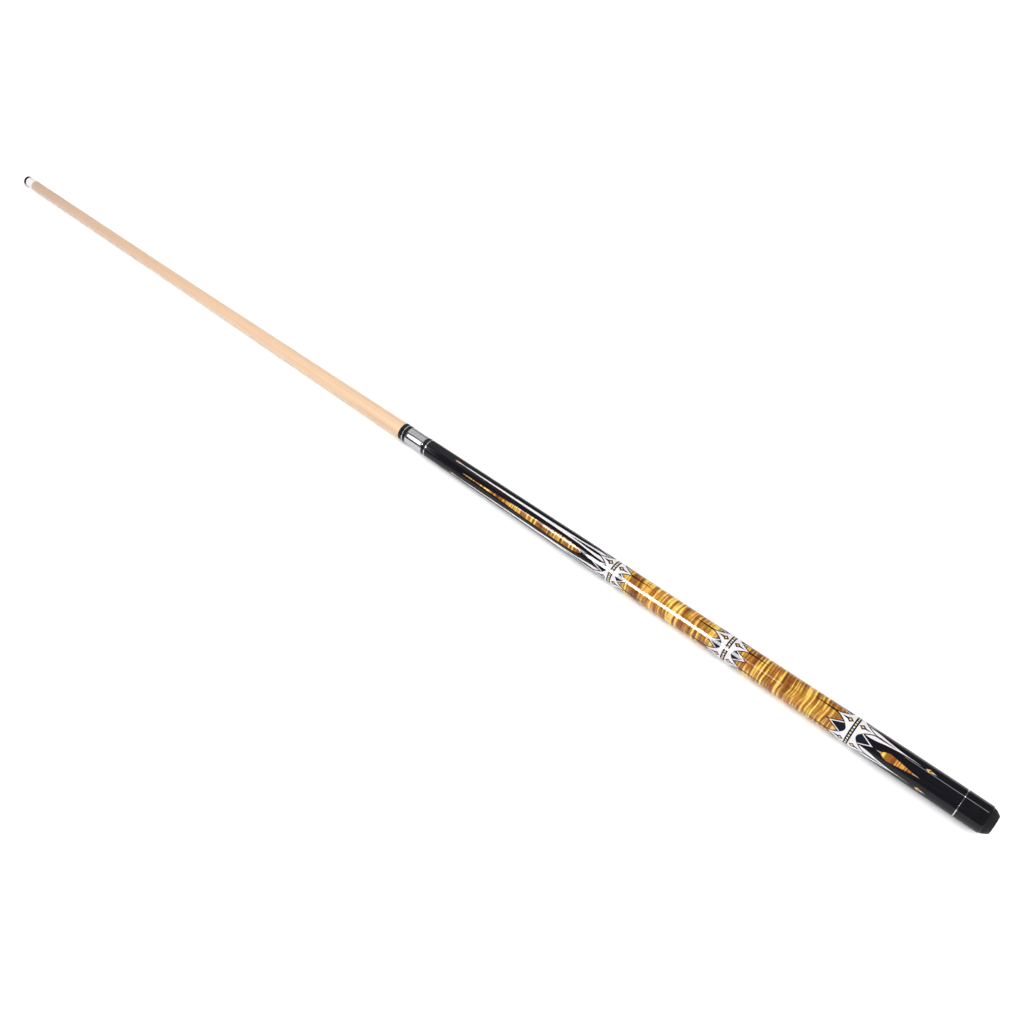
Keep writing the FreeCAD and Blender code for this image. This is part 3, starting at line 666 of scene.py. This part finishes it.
def motif(skin, edge, sign, kind, apex):
    """White fans, black half-moons, V legs, diamonds and their outlines, beside the ring edge at x = edge."""
    k = skin.k

    def put(label, pts):
        skin.add(label, [(edge + sign * u, a) for u, a in pts])

    deg = 1.0 / k
    arch = catmull([(3.6 + 0.15, -4.0)] + ARCH, 8)[8:]
    reach = 18.2
    # black outline of the arch and the line that carries on along the diamond's axis
    outer = offset_line(arch, k, lambda t: 1.30 - 0.20 * t)
    if kind == "amber":
        w0 = 0.95
        tail = [(reach + 4, 45 - 0.90 * deg), (reach + 13, 45 - 0.62 * deg), (reach + 23, 45 - 0.28 * deg), (reach + 27, 45)]
    elif kind["line"] == "wedge":
        w0 = 1.05
        tail = [(reach + 3, 45 - 1.30 * deg), (reach + 8, 45 - 1.50 * deg), (reach + 16, 45 - 1.30 * deg),
                (reach + 26, 45 - 0.85 * deg), (reach + 36, 45 - 0.40 * deg), (reach + 42, 45)]
    else:
        w0 = 0.90
        tail = [(reach + 4, 45 - 0.98 * deg), (reach + 11, 45 - 0.80 * deg), (reach + 24, 45)]
    keep = [p for p in outer if p[1] < 45 - (w0 + 0.05) * deg]
    line = keep + [(max(keep[-1][0] + 1.0, 16.6), 45 - w0 * deg)] + tail
    # white branch beside the arch (black pieces only) goes under the outlines
    if kind != "amber":
        inner_edge = kind["inner"]
        rim = [p for p in line if p[0] > 9.2]
        start = [(9.0, 28.6), (8.9, 27.0), (9.3, 25.2), (10.1, 24.2)]
        body_edge = catmull([(10.1, 24.2)] + inner_edge, 8)
        put("white", start[:1] + [(9.2, 29.0)] + rim + [(inner_edge[-1][0], 45.0)] + list(reversed(body_edge)) + list(reversed(start[1:])))
    put("black", [(3.0, 0.0)] + line + [(reach, 45.0)] + list(reversed(arch)))
    # V leg: white, with black each side
    corner = np.array([7.8, 20.4 * k])
    tip = np.array([apex, 0.0])
    d = (tip - corner) / np.linalg.norm(tip - corner)
    nrm = np.array([-d[1], d[0]])
    if nrm[0] < 0:
        nrm = -nrm

    def leg(w_out, w_in, grow, tail_len, tail_half):
        a = corner - d * grow + nrm * w_out
        b = corner - d * grow - nrm * w_in
        s = (tail_half - a[1]) / d[1]
        c = a + d * s
        s2 = (0.0 - b[1]) / d[1]
        e = b + d * s2
        return [(a[0], a[1] / k), (c[0], c[1] / k), (c[0] + tail_len, 0.0), (e[0], 0.0), (b[0], b[1] / k)]

    put("black", leg(1.38, 1.3, 0.8, 4.6, 0.75))
    # half-moon between the legs
    moon = [p for p in arch if p[1] < 21.4]
    b_in = corner - nrm * 0.45
    s2 = -b_in[1] / d[1]
    e_in = b_in + d * s2
    put("black", moon + [(corner[0] - 0.4, 21.4), (corner[0], 20.6), (e_in[0] + 0.2, 0.0)])
    inner = offset_line([p for p in arch if p[1] < 17.5], k, 0.80)
    e_nv = e_in[0] - 2.2
    put("navy", inner + [(corner[0] + 0.15, 17.4), (e_nv, 0.0)])
    put("white", leg(0.46, 0.40, 0.05, 1.0, 0.26))
    # white fan between the ring and the arch
    put("white", [(0.0, 0.0), (0.0, 45.0), (reach, 45.0)] + list(reversed(arch)))
    # diamond on the fan's axis: dark outline and tail, amber heart, and a cream dot that is a painted highlight
    c = 4.5
    put("black", [(c - 3.7, 45.0), (c, 45 - 2.95 * deg), (c + 2.5, 45 - 1.05 * deg), (c + 5.6, 45 - 0.70 * deg), (c + 9.2, 45.0)])
    put("amber", [(c - 1.85, 45.0), (c, 45 - 1.38 * deg), (c + 1.85, 45.0)])
    put("cream", [(c - 1.25, 45.0), (c, 45 - 0.95 * deg), (c + 1.25, 45.0)])


# stations and radii from the CAD model, in millimetres
def span_of(node):
    lo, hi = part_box(node)
    return lo.x / MM, hi.x / MM


FA0, FA1 = 440.3, 705.7
HF0, HF1 = 294.6, 435.3
HR0, HR1 = 151.2, 289.6
SL0, SL1 = 34.7, 146.6

# ---- forearm
fa = Skin(FA0, FA1, 12.59, 10.33, turn=44.05)
k = fa.k
dg = 1.0 / k
# long white stripe on the fan axis, split by a black wedge near the band
stripe = [(655.0, 45.0), (650.0, 45 - 0.35 * dg), (636.0, 45 - 0.62 * dg), (606.0, 45 - 0.92 * dg), (563.6, 45 - 1.28 * dg),
          (524.9, 45 - 1.60 * dg), (500.0, 45 - 2.05 * dg), (485.5, 33.2), (474.0, 29.2), (463.5, 25.2)]
fa.add("white", [(x, a) for x, a in catmull(stripe, 6)] + [(462.0, 45.0)])
motif(fa, FA0, 1, {"line": "wedge", "inner": [(13.5, 24.0), (18.0, 24.3), (23.2, 25.2), (30.0, 28.0)]}, 22.6)
# small amber lens with a white heart at the stripe's head
fa.add("amber", [(666.0, 45.0), (663.0, 45 - 0.85 * dg), (660.0, 45 - 1.2 * dg), (657.0, 45 - 0.9 * dg), (653.5, 45 - 0.3 * dg), (653.5, 45.0)])
fa.add("white", [(664.5, 45.0), (661.0, 45 - 0.42 * dg), (656.0, 45 - 0.30 * dg), (652.0, 45 - 0.34 * dg), (652.0, 45.0)])
# amber point
point = [(649.0, 0.0), (645.0, 0.26 * dg), (631.0, 0.50 * dg), (614.0, 0.95 * dg), (598.0, 1.45 * dg), (578.0, 2.10 * dg),
         (557.6, 2.78 * dg), (535.0, 3.32 * dg), (512.0, 3.70 * dg), (499.0, 3.72 * dg), (490.0, 3.25 * dg), (484.0, 2.4 * dg),
         (480.0, 1.3 * dg), (478.5, 0.0)]
fa.add("point", catmull(point, 6))
fa.build("black", "butt", {
    "black": ("forearm_black", M["black"], ("forearm",), "black_lacquer_wood"),
    "amber": ("forearm_amber", M["amber"], ("forearm_points",), "flame_maple"),
    "white": ("forearm_white", M["white"], (), "white_veneer"),
    "navy": ("forearm_navy", M["navy"], (), "black_lacquer_wood"),
    "cream": ("forearm_cream", M["cream"], (), "white_veneer"),
})

# ---- handle, front and rear
for tag, x0, x1, r0, r1, node in (("handle_front", HF0, HF1, 13.41, 12.63, "handle_front"),
                                  ("handle_rear", HR0, HR1, 14.46, 13.45, "handle_rear")):
    sk = Skin(x0, x1, r0, r1)
    motif(sk, x0, 1, "amber", 18.0 if tag == "handle_front" else 20.2)
    motif(sk, x1, -1, "amber", 16.2 if tag == "handle_front" else 18.6)
    sk.build("amber", "butt", {
        "amber": (tag + "_amber", M["amber"], (node,), "flame_maple"),
        "black": (tag + "_black", M["black"], (), "black_lacquer_wood"),
        "white": (tag + "_white", M["white"], (), "white_veneer"),
        "navy": (tag + "_navy", M["navy"], (), "black_lacquer_wood"),
        "cream": (tag + "_cream", M["cream"], (), "white_veneer"),
    })

# ---- butt sleeve
sl = Skin(SL0, SL1, 14.87, 14.5, turn=40.2)
dg = 1.0 / sl.k
motif(sl, SL1, -1, {"line": "thin", "inner": [(13.6, 24.0), (17.1, 25.0), (22.0, 27.4), (29.0, 33.0), (39.9, 39.6), (50.3, 43.3), (60.0, 44.4), (68.0, 45.0)]}, 20.2)
spear = [(118.0, 0.0), (116.0, 1.0 * dg), (113.0, 2.5 * dg), (109.5, 3.80 * dg), (106.5, 4.02 * dg), (101.5, 3.35 * dg), (93.5, 2.2 * dg),
         (87.0, 1.25 * dg), (82.5, 0.60 * dg), (79.0, 0.3 * dg), (75.5, 0.0)]
sl.add("point", catmull(spear, 6))
sl.add("fillet", [(121.0, 0.0), (118.0, 0.30 * dg), (116.6, 0.42 * dg), (115.8, 0.0)])
sl.add("fillet", [(83.5, 0.0), (82.5, 0.40 * dg), (79.0, 0.28 * dg), (75.0, 0.0)])
sl.add("amber", [(75.2, 45.0), (73.4, 45 - 1.30 * dg), (71.4, 45 - 1.95 * dg), (69.4, 45 - 1.2 * dg), (67.6, 45.0)])
sl.add("black", [(72.6, 45.0), (71.6, 45 - 0.55 * dg), (70.2, 45 - 0.60 * dg), (69.6, 45.0)])
sl.add("cream", [(75.0, 45.0), (73.6, 45 - 0.75 * dg), (72.4, 45 - 0.55 * dg), (71.8, 45.0)])
sl.add("white", [(69.8, 45.0), (68.2, 45 - 0.62 * dg), (66.0, 45 - 0.26 * dg), (63.6, 45.0)])
sl.build("black", "butt", {
    "black": ("butt_sleeve_black", M["black"], ("butt_sleeve",), "black_lacquer_wood"),
    "amber": ("butt_sleeve_amber", M["amber"], ("sleeve_spears",), "flame_maple"),
    "white": ("butt_sleeve_white", M["white"], (), "white_veneer"),
    "navy": ("butt_sleeve_navy", M["navy"], (), "black_lacquer_wood"),
    "cream": ("butt_sleeve_cream", M["cream"], (), "white_veneer"),
})

# =====================================================================
# ring bands: rings of squares in black
# =====================================================================
for tag, x0, x1, r0, r1 in (("front", 435.3, 440.3, 12.63, 12.59), ("middle", 289.6, 294.6, 13.45, 13.41), ("rear", 146.6, 151.2, 14.5, 14.46)):
    c0, c1 = x0 + 0.7, x1 - 0.7
    sk = Skin(c0, c1, r0, r1, 0.0, 360.0 / 14, False, 14, 360.0 / 14 / 12, 2.2)
    pitch = 360.0 / 28
    dgr = 1.0 / sk.k
    mid = pitch * 0.5
    w, am = 0.98 * dgr, 1.02 * dgr
    ea, ew = 0.78, 0.84
    # cell 0 centred on 0: white (split over the seam); cell 1: amber
    sk.add("white", [(c0 + ew, 0.0), (c0 + ew, w), (c1 - ew, w), (c1 - ew, 0.0)])
    sk.add("white", [(c0 + ew, 2 * pitch - w), (c0 + ew, 2 * pitch), (c1 - ew, 2 * pitch), (c1 - ew, 2 * pitch - w)])
    sk.add("amber", [(c0 + ea, pitch - am), (c0 + ea, pitch + am), (c1 - ea, pitch + am), (c1 - ea, pitch - am)])
    sk.build("black", "butt", {
        "black": ("band_%s_checks_black" % tag, M["resin"], ("band_%s_checks" % tag,), "black_ring"),
        "white": ("band_%s_checks_white" % tag, M["white"], (), "check_ring"),
        "amber": ("band_%s_checks_amber" % tag, M["cream"], (), "check_ring"),
    })
    lathe("band_%s_trim_rear" % tag, tube(x0, c0, 9.03, r0, bevel=0.0), M["resin"], "butt", ("band_%s_trim" % tag,))
    lathe("band_%s_trim_front" % tag, tube(c1, x1, 9.03, r1, bevel=0.0), M["resin"], "butt", ("band_%s_trim" % tag,))

# =====================================================================
# cores under the skins: only their ends can ever be seen
# =====================================================================
DEP = 1.55
lathe("forearm_core", [(FA0 + 0.02, 4.82), (FA0 + 0.02, 12.59 - DEP), (FA1 - 0.02, 10.33 - DEP), (FA1 - 0.02, 7.88), (736.02, 7.88), (736.1, 7.8),
                       (736.1, 4.3), (735.8, 4.0), (690.5, 4.0), (690.5, 0), (469.8, 0), (469.8, 4.82)], M["core"], "butt", ("forearm",))
for tag, x0, x1, r0, r1, up in (("handle_front", HF0, HF1, 13.41, 12.63, 5.0), ("handle_rear", HR0, HR1, 14.46, 13.45, 5.0)):
    lathe(tag + "_core", [(x0 + 0.02, 4.82), (x0 + 0.02, r0 - DEP), (x1 - 0.02, r1 - DEP), (x1 - 0.02, 9.0), (x1 + up - 0.02, 9.0), (x1 + up - 0.02, 4.82),
                          (x1 - 27.6, 4.82), (x1 - 27.6, 0), (x0 + 27.6, 0), (x0 + 27.6, 4.82)], M["core"], "butt", (tag,))
lathe("butt_sleeve_core", [(17.7, 6.38), (17.7, 11.0), (SL0 + 0.02, 11.0), (SL0 + 0.02, 14.87 - DEP), (SL1 - 0.02, 14.5 - DEP), (SL1 - 0.02, 9.0),
                           (SL1 + 4.58, 9.0), (SL1 + 4.58, 4.82), (119.0, 4.82), (119.0, 0), (88.0, 0), (88.0, 6.38)], M["core"], "butt", ("butt_sleeve",))

# =====================================================================
# joint
# =====================================================================
lathe("joint_collar_steel", [(711.1, 7.93)] + round_corner((711.1, 7.93), (711.1, 10.4), (736.5, 10.4), 0.12, 3)
      + round_corner((711.1, 10.4), (736.5, 10.4), (736.5, 7.93), 0.40, 6) + [(736.5, 7.93)],
      M["steel"], "butt", ("joint_collar",), segs=192, max_step=2.0)
lathe("joint_ring_black_resin", tube(706.9, 711.1, 7.93, 10.4, bevel=0.15), M["resin"], "butt", ("joint_ring_black",), segs=192)
lathe("joint_ring_silver_metal", tube(705.7, 706.9, 7.93, 10.4, bevel=0.14), M["silver"], "butt", ("joint_ring_silver",), segs=192)
lathe("shaft_collar_rear_resin", tube(736.53, 740.5, 7.63, 10.4, bevel=0.20), M["resin"], "shaft", ("shaft_collar_rear",), segs=192)
lathe("shaft_collar_silver_metal", tube(740.52, 741.68, 7.65, 10.4, bevel=0.14), M["silver"], "thread_carrier", ("shaft_collar_silver",), segs=192)
lathe("shaft_collar_front_resin", tube(741.7, 746.7, 7.63, 10.4, bevel=0.30), M["resin"], "shaft", ("shaft_collar_front",), segs=192)


def threaded_rod(name, x0, x1, major, minor, pitch, lead_in, lead_out, mat, body, nodes, segs=72, nose=None):
    """A rod with a real helical thread between x0 + lead_in and x1 - lead_out."""
    per = 10
    step = pitch / per
    rows = int(round((x1 - x0) / step))
    verts, faces = [], []
    for i in range(rows + 1):
        x = x0 + (x1 - x0) * i / rows
        for j in range(segs):
            a = 2 * math.pi * j / segs
            phase = (x / pitch + j / segs) % 1.0          # right-handed
            tri = 1 - abs(2 * phase - 1)                  # 0 at root, 1 at crest
            prof = min(max((tri - 0.14) / 0.72, 0.0), 1.0)
            fade = min(max((x - x0 - lead_in) / pitch, 0.0), 1.0) * min(max((x1 - lead_out - x) / pitch, 0.0), 1.0)
            r = minor + (major - minor) * prof
            plain = major - (major - minor) * 0.5
            r = plain + (r - plain) * fade
            if nose:
                r = min(r, nose(x))
            verts.append((x * MM, r * MM * math.sin(a), r * MM * math.cos(a)))
    for i in range(rows):
        for j in range(segs):
            j2 = (j + 1) % segs
            faces.append((i * segs + j, i * segs + j2, (i + 1) * segs + j2, (i + 1) * segs + j))
    for row, flip, x in ((0, False, x0), (rows, True, x1)):
        c = len(verts)
        verts.append((x * MM, 0, 0))
        for j in range(segs):
            j2 = (j + 1) % segs
            f = (c, row * segs + j2, row * segs + j)
            faces.append(tuple(reversed(f)) if flip else f)
    if signed_volume(verts, faces) < 0:
        faces = [tuple(reversed(f)) for f in faces]
    return finish_piece(name, verts, faces, None, mat, body, nodes, 28)


def pin_nose(x):
    if x > 756.1:
        t = (x - 756.1) / 2.4
        return 3.97 - 1.07 * t * t - 0.15 * t
    if x < 692.3:
        return 3.17 + (x - 691.5)
    return 9.0


threaded_rod("joint_pin_threaded", 691.5, 758.5, 3.965, 3.25, 25.4 / 18, 0.0, 0.6, M["pin"], "butt", ("joint_pin",), nose=pin_nose)

# brass insert: the crests of its thread clear the pin, the groove between them is cut outwards
def insert_piece():
    x0, x1, pitch, segs, per = 736.53, 764.53, 25.4 / 18, 72, 10
    rows = int(round((x1 - x0) / (pitch / per)))
    verts, faces = [], []
    for i in range(rows + 1):
        x = x0 + (x1 - x0) * i / rows
        for j in range(segs):
            a = 2 * math.pi * j / segs
            phase = (x / pitch + j / segs) % 1.0
            tri = 1 - abs(2 * phase - 1)
            prof = min(max((tri - 0.14) / 0.72, 0.0), 1.0)
            r = 4.03 + 0.42 * prof
            if x < x0 + 0.8:
                r = max(r, 4.02 + 0.8 * (1 - (x - x0) / 0.8))
            verts.append((x * MM, r * MM * math.sin(a), r * MM * math.cos(a)))
    base = len(verts)
    for x in (x0, x1):
        for j in range(segs):
            a = 2 * math.pi * j / segs
            verts.append((x * MM, 5.2 * MM * math.sin(a), 5.2 * MM * math.cos(a)))
    for i in range(rows):
        for j in range(segs):
            j2 = (j + 1) % segs
            faces.append((i * segs + j, (i + 1) * segs + j, (i + 1) * segs + j2, i * segs + j2))
    for j in range(segs):
        j2 = (j + 1) % segs
        faces.append((base + j, base + j2, base + segs + j2, base + segs + j))
        faces.append((j, j2, base + j2, base + j))
        faces.append((rows * segs + j2, rows * segs + j, base + segs + j, base + segs + j2))
    if signed_volume(verts, faces) < 0:
        faces = [tuple(reversed(f)) for f in faces]
    return finish_piece("shaft_insert_brass", verts, faces, None, M["brass"], "shaft", ("shaft_insert",), 28)


insert_piece()

# =====================================================================
# shaft, ferrule, pad, tip
# =====================================================================
S0 = 746.7
taper = [(0, 9.95), (60, 9.55), (130, 9.02), (200, 8.46), (270, 7.92), (340, 7.44), (420, 7.07), (520, 6.80), (620, 6.62), (706.3, 6.52)]
line = catmull([(S0 + a, r) for a, r in taper], 24)
front_end = [(1453.0, 4.2), (1465.75, 4.2), (1465.75, 0.0), (767.5, 0.0), (766.0, 5.23), (736.9, 5.23), (736.53, 5.6)]
lathe("shaft_maple", [(736.53, 7.4), (736.73, 7.6), (746.7, 7.6), (746.7, 9.75), (746.85, 9.93)] + [p for p in line if p[0] > 747.2] + front_end,
      M["shaft"], "shaft", ("shaft",), segs=192, sharp=25)
lathe("ferrule_white", [(1453.0, 4.23)] + round_corner((1453.0, 4.23), (1453.0, 6.52), (1465.8, 6.5), 0.10, 3)
      + round_corner((1453.0, 6.52), (1465.8, 6.5), (1465.8, 4.23), 0.10, 3) + [(1465.8, 4.23)],
      M["ferrule"], "shaft", ("ferrule",), segs=192, max_step=1.5)
lathe("tip_pad_fibre", [(1465.8, 0)] + round_corner((1465.8, 0), (1465.8, 6.5), (1466.6, 6.5), 0.08, 2)
      + round_corner((1465.8, 6.5), (1466.6, 6.5), (1466.6, 0), 0.08, 2) + [(1466.6, 0)],
      M["fibre"], "shaft", ("tip_pad",), segs=192, closed=False)
# leather: slightly mushroomed side, domed crown
crown = []
cx = (1473.0 ** 2 - 1470.3 ** 2 - 6.3 ** 2) / (2 * (1473.0 - 1470.3))
rad = 1473.0 - cx
start = math.asin(6.3 / rad)
for i in range(25):
    a = start * (1 - i / 24)
    crown.append((cx + rad * math.cos(a), max(rad * math.sin(a), 0.0)))
side = [(1466.6, 0.0), (1466.6, 6.38), (1466.75, 6.46), (1467.6, 6.50), (1468.8, 6.50), (1469.7, 6.47), (1470.1, 6.40)]
lathe("cue_tip_leather", side + crown, M["leather"], "shaft", ("cue_tip",), segs=192, closed=False, sharp=40)

# =====================================================================
# butt end
# =====================================================================
lathe("cap_ring_silver_metal", tube(33.6, 34.7, 11.03, 14.9, bevel=0.16), M["silver"], "butt", ("cap_ring_silver",), segs=192)
lip = [(7.6, 7.2), (7.6, 13.9)]
for i in range(1, 9):
    a = math.pi / 2 * i / 8
    lip.append((7.6 + 2.4 * (1 - math.cos(a)) ** 1.0, 13.9 + 1.0 * math.sin(a)))
lathe("butt_cap_resin", lip + [(33.55, 14.9), (33.6, 14.86), (33.6, 11.03), (17.6, 11.03), (17.6, 7.2)],
      M["resin"], "butt", ("butt_cap",), segs=192, max_step=4.0)
dome = catmull([(0.0, 8.95), (0.12, 9.45), (0.7, 10.25), (1.9, 11.25), (3.6, 12.35), (5.6, 13.25), (7.0, 13.66), (7.55, 13.70)], 6)
lathe("rubber_bumper_moulded", [(0.0, 0.0), (0.0, 4.0), (0.0, 7.0)] + dome + [(7.55, 7.6), (7.9, 7.15), (15.6, 7.15), (16.8, 5.95), (16.8, 0.0)],
      M["rubber"], "bumper", ("rubber_bumper",), segs=192, closed=False)

# CAD nodes that stay as they are: studs and weight bolt inside the butt
for n in ("stud_front", "stud_middle", "stud_rear", "weight_bolt"):
    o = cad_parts[n]
    o.data.materials.clear()
    o.data.materials.append(M["zinc"])

# =====================================================================
# floor, light, camera
# =====================================================================
lie = math.atan2(14.9 - 6.5, 1470.0 - 20.0)


def make_floor():
    m = Mat("studio_floor")
    v = m.noise(m.coords((3, 3, 3)), 1.0, 2.0, 0.5)
    m.link(m.ramp(v, [(0.3, (0.965, 0.965, 0.965)), (0.7, (0.975, 0.975, 0.975))]), m.b.inputs["Base Color"])
    m.set(Roughness=0.9, Specular_IOR_Level=0.1)
    return m.m


mesh = bpy.data.meshes.new("floor")
S = 60.0
mesh.from_pydata([(-S, -S, 0), (S, -S, 0), (S, S, 0), (-S, S, 0)], [], [(0, 1, 2, 3)])
mesh.materials.append(make_floor())
floor = bpy.data.objects.new("floor", mesh)
bpy.context.scene.collection.objects.link(floor)
# the cue lies on its cap and its tip, so the floor meets both
floor.matrix_world = Matrix.Translation((0.020, 0, -14.9 * MM)) @ Matrix.Rotation(-lie, 4, "Y")

cam_data = bpy.data.cameras.new("camera")
cam = bpy.data.objects.new("camera", cam_data)
bpy.context.scene.collection.objects.link(cam)
bpy.context.scene.camera = cam
cam_data.sensor_width = 36.0
cam_data.lens = 41.12
CAM = Vector((0.0745, 0.6050, 1.0384))
yaw, pitch = math.radians(-50.036), math.radians(-53.179)
fwd = Vector((math.cos(pitch) * math.cos(yaw), math.cos(pitch) * math.sin(yaw), math.sin(pitch)))
cam.location = CAM
cam.rotation_mode = "QUATERNION"
cam.rotation_quaternion = fwd.to_track_quat("-Z", "Y")
cam_data.clip_start, cam_data.clip_end = 0.01, 100.0

world = bpy.data.worlds.new("studio")
bpy.context.scene.world = world
world.use_nodes = True
world.node_tree.nodes["Background"].inputs[0].default_value = (0.97, 0.98, 1.0, 1)
world.node_tree.nodes["Background"].inputs[1].default_value = 0.17


def sun(name, direction, strength, spread):
    """A distant soft light: its mirror image never falls on the cue's sides in the main view."""
    data = bpy.data.lights.new(name, "SUN")
    data.energy = strength
    data.angle = math.radians(spread)
    o = bpy.data.objects.new(name, data)
    bpy.context.scene.collection.objects.link(o)
    o.rotation_mode = "QUATERNION"
    o.rotation_quaternion = Vector(direction).to_track_quat("Z", "Y")
    o.visible_glossy = False
    return o


def area(name, at, aim, sx, sy, power, roll=0.0, colour=(1, 1, 1)):
    data = bpy.data.lights.new(name, "AREA")
    data.shape = "RECTANGLE"
    data.size, data.size_y = sx, sy
    data.energy = power
    data.color = colour
    o = bpy.data.objects.new(name, data)
    bpy.context.scene.collection.objects.link(o)
    o.location = at
    q = (Vector(aim) - Vector(at)).to_track_quat("-Z", "Y")
    o.rotation_mode = "QUATERNION"
    o.rotation_quaternion = q @ Matrix.Rotation(roll, 3, "Z").to_quaternion()
    return o


def mirrored(x, theta_deg, dist):
    """Where a light must stand for its reflection to show at station x and angle theta."""
    t = math.radians(theta_deg)
    p = Vector((x, 0, 0))
    n = Vector((0, math.sin(t), math.cos(t)))
    v = (CAM - p).normalized()
    l = 2 * n.dot(v) * n - v
    return p + l * dist


def strip_between(name, xa, xb, th_a, th_b, dist, radiance, colour=(1, 1, 1)):
    """A soft box whose reflection covers stations xa..xb and angles th_a..th_b; it only makes highlights."""
    ends = [mirrored(xa, (th_a + th_b) / 2, dist), mirrored(xb, (th_a + th_b) / 2, dist)]
    sides = [mirrored((xa + xb) / 2, th_a, dist), mirrored((xa + xb) / 2, th_b, dist)]
    c = mirrored((xa + xb) / 2, (th_a + th_b) / 2, dist)
    u = ends[1] - ends[0]
    w = sides[1] - sides[0]
    aim = Vector(((xa + xb) / 2, 0, 0))
    z = (c - aim).normalized()
    xax = (u - u.dot(z) * z).normalized()
    yax = z.cross(xax)
    data = bpy.data.lights.new(name, "AREA")
    data.shape = "RECTANGLE"
    data.size, data.size_y = abs(u.dot(xax)), abs(w.dot(yax))
    data.energy = radiance * 4.0 * data.size * data.size_y
    data.color = colour
    o = bpy.data.objects.new(name, data)
    bpy.context.scene.collection.objects.link(o)
    o.matrix_world = Matrix((
        (xax.x, yax.x, z.x, c.x), (xax.y, yax.y, z.y, c.y), (xax.z, yax.z, z.z, c.z), (0, 0, 0, 1)))
    o.visible_diffuse = False
    return o


VIEW = math.degrees(math.atan2(CAM.y, CAM.z))
sun("sun_left", (-0.60, 0.50, 0.64), 3.0, 60.0)
sun("sun_right", (-0.62, -0.16, 0.77), 2.8, 60.0)
strip_between("glare_softbox", 0.282, 0.437, VIEW + 0.9, VIEW + 15.2, 1.3, 32.0)
strip_between("glare_front", 0.438, 0.484, VIEW + 0.4, VIEW + 15.2, 1.3, 60.0)
strip_between("glare_tail", 0.236, 0.280, VIEW + 1.5, VIEW + 5.0, 1.3, 8.0)
strip_between("glare_fade", 0.486, 0.545, VIEW - 0.5, VIEW + 9.0, 1.3, 26.0)
strip_between("glare_end", 0.547, 0.590, VIEW - 0.5, VIEW + 6.0, 1.3, 10.0)
strip_between("rim_strip", -0.010, 0.100, VIEW - 29.4, VIEW - 27.0, 1.2, 12.0)
strip_between("joint_card", 0.7140, 0.7425, VIEW - 4.0, VIEW + 18.6, 1.1, 3.2)
strip_between("wall_card", 0.600, 1.300, VIEW - 62.0, VIEW + 1.0, 1.6, 0.68)

scene = bpy.context.scene
scene.view_settings.view_transform = "Standard"
scene.view_settings.look = "None"
scene.view_settings.exposure = 0.0
scene.view_settings.gamma = 1.0

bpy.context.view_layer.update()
